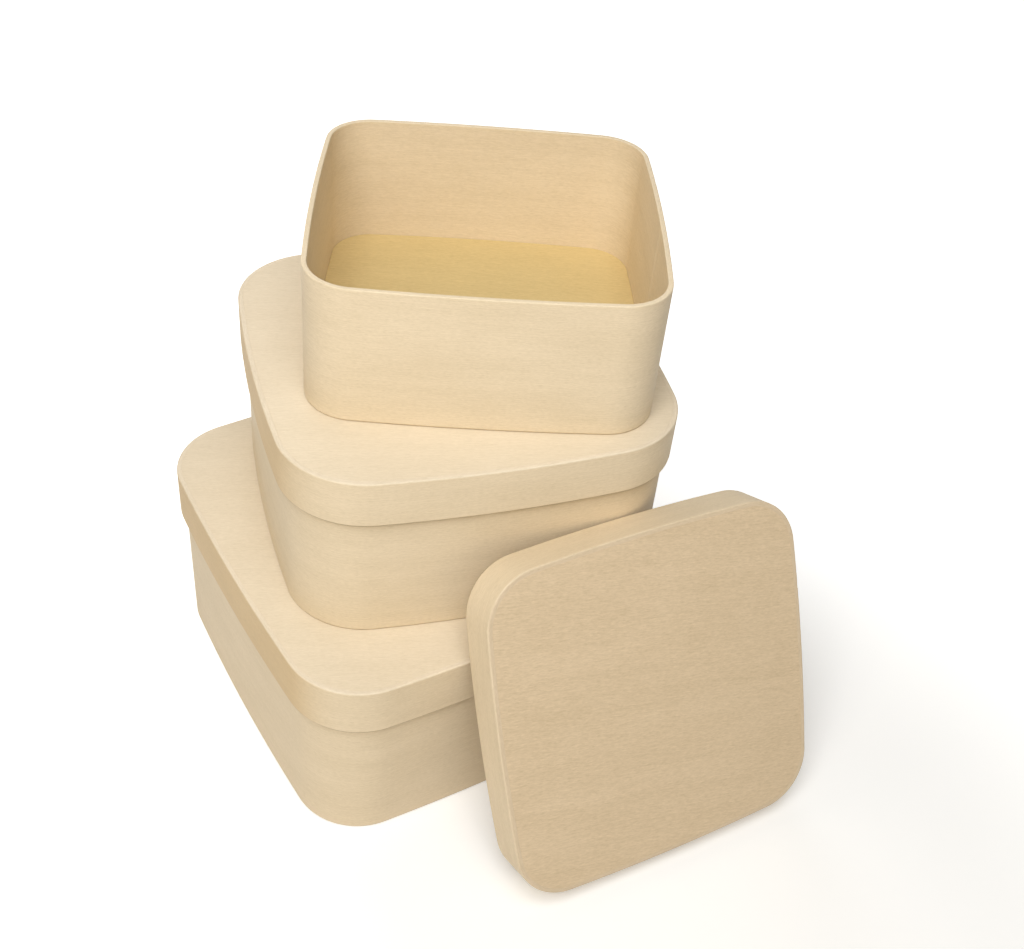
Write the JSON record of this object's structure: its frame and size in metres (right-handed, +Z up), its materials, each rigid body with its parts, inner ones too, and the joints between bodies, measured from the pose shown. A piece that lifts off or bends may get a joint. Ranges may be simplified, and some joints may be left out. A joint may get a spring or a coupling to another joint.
{
  "type": "cheese box set",
  "caption": "Square thin-wood cheese boxes with bowed sides, soft corners and lift-off lids, stacked turned on each other, the top one open with its lid leaning in front.",
  "frame": {"origin": "centre of the large box's underside, on the surface that the set stands on", "axes": "+Z up; +X and +Y square to the sides of the large box; the small lid leans in front, at -Y"},
  "size_m": [0.1788, 0.2241, 0.1952],
  "materials": {
    "strip_wood": "bare, finely sanded thin poplar strip, grain running along the strip",
    "panel_wood": "bare, finely sanded poplar panel, grain running straight across"
  },
  "bodies": {
    "large_box": {"large_box_band": "strip_wood", "large_box_bottom": "panel_wood"},
    "large_lid": {"large_lid_band": "strip_wood", "large_lid_panel": "panel_wood"},
    "medium_box": {"medium_box_band": "strip_wood", "medium_box_bottom": "panel_wood"},
    "medium_lid": {"medium_lid_band": "strip_wood", "medium_lid_panel": "panel_wood"},
    "small_box": {"small_box_band": "strip_wood", "small_box_bottom": "panel_wood"},
    "small_lid": {"small_lid_band": "strip_wood", "small_lid_panel": "panel_wood"}
  },
  "joints": [
    {"name": "large_lid_lift", "type": "slide", "parent": "large_box", "child": "large_lid", "axis": [0, 0, 1], "range_m": [0, 0.04]},
    {"name": "medium_box_lift", "type": "slide", "parent": "large_lid", "child": "medium_box", "axis": [0, 0, 1], "range_m": [0, 0.04]},
    {"name": "medium_lid_lift", "type": "slide", "parent": "medium_box", "child": "medium_lid", "axis": [0, 0, 1], "range_m": [0, 0.04]},
    {"name": "small_box_lift", "type": "slide", "parent": "medium_lid", "child": "small_box", "axis": [0, 0, 1], "range_m": [0, 0.04]},
    {"name": "small_lid_lift", "type": "slide", "parent": "large_lid", "child": "small_lid", "axis": [-0.0556, -0.9083, 0.4147], "range_m": [0, 0.06]}
  ]
}
